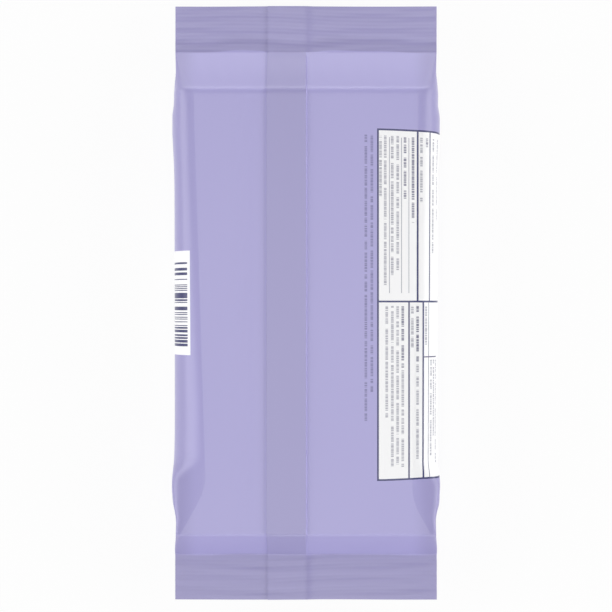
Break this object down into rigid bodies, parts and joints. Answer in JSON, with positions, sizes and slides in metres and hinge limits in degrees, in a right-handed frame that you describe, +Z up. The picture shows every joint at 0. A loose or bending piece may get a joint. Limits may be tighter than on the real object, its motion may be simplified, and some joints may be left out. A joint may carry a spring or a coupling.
{
  "type": "wet wipes pack",
  "caption": "Flat sealed soft pack of wet wipes: lavender film wrapped round a pad, with a folded fin seam along the back, tucked corners and ridged end seals.",
  "frame": {"origin": "on the flat front face that the pack lies on, under the middle of the pack", "axes": "+X across the pack, +Y along it from the foot seal to the head seal, +Z up, out of the back that carries the fin seam"},
  "size_m": [0.0974, 0.216, 0.0287],
  "materials": {
    "film": "satin printed laminate film"
  },
  "bodies": {
    "root": {"wipes_pack": "film"}
  },
  "joints": []
}
